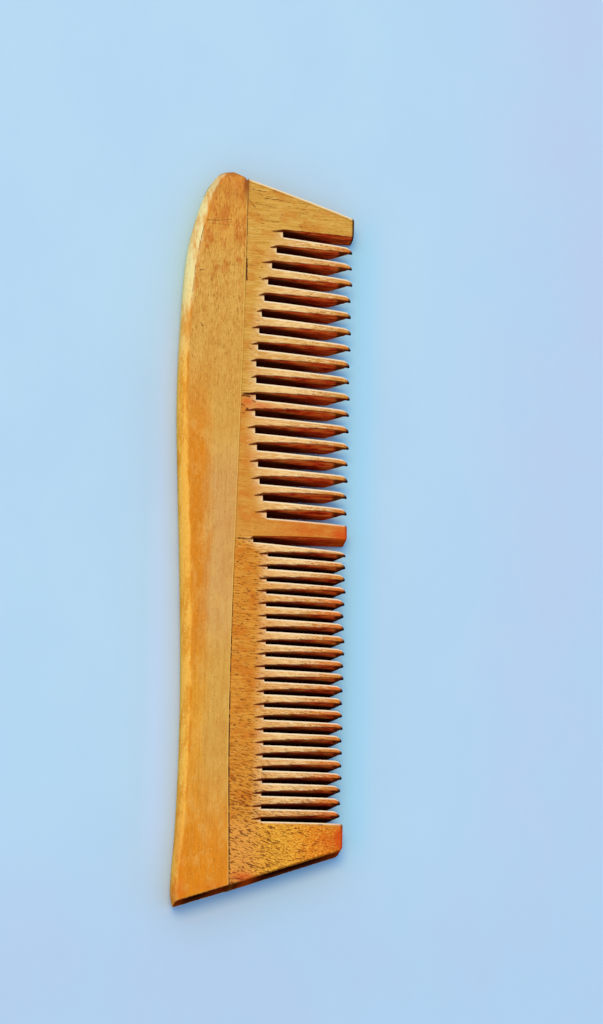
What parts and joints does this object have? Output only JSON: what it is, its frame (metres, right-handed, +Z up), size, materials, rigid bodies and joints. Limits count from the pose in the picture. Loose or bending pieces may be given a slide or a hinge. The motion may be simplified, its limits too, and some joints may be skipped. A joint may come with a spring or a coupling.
{
  "type": "wooden comb",
  "caption": "Flat wooden hair comb with a thick rounded back, a coarse and a fine set of tapered teeth, and a sloping guard at each end.",
  "frame": {"origin": "middle of the underside's box, on the surface that the comb lies on", "axes": "+X across the comb towards the tooth tips, +Y along it towards the coarse end, +Z up"},
  "size_m": [0.0422, 0.185, 0.0068],
  "materials": {
    "back_wood": "oiled, worn satin, grain along the comb",
    "upper_plate_wood": "oiled satin, grain along the teeth",
    "lower_plate_wood": "oiled satin, grain along the teeth",
    "fine_plate_wood": "oiled satin with open pores, grain along the teeth"
  },
  "bodies": {
    "root": {"spine": "back_wood", "upper_coarse_plate": "upper_plate_wood", "lower_coarse_plate": "lower_plate_wood", "fine_plate": "fine_plate_wood"}
  },
  "joints": []
}
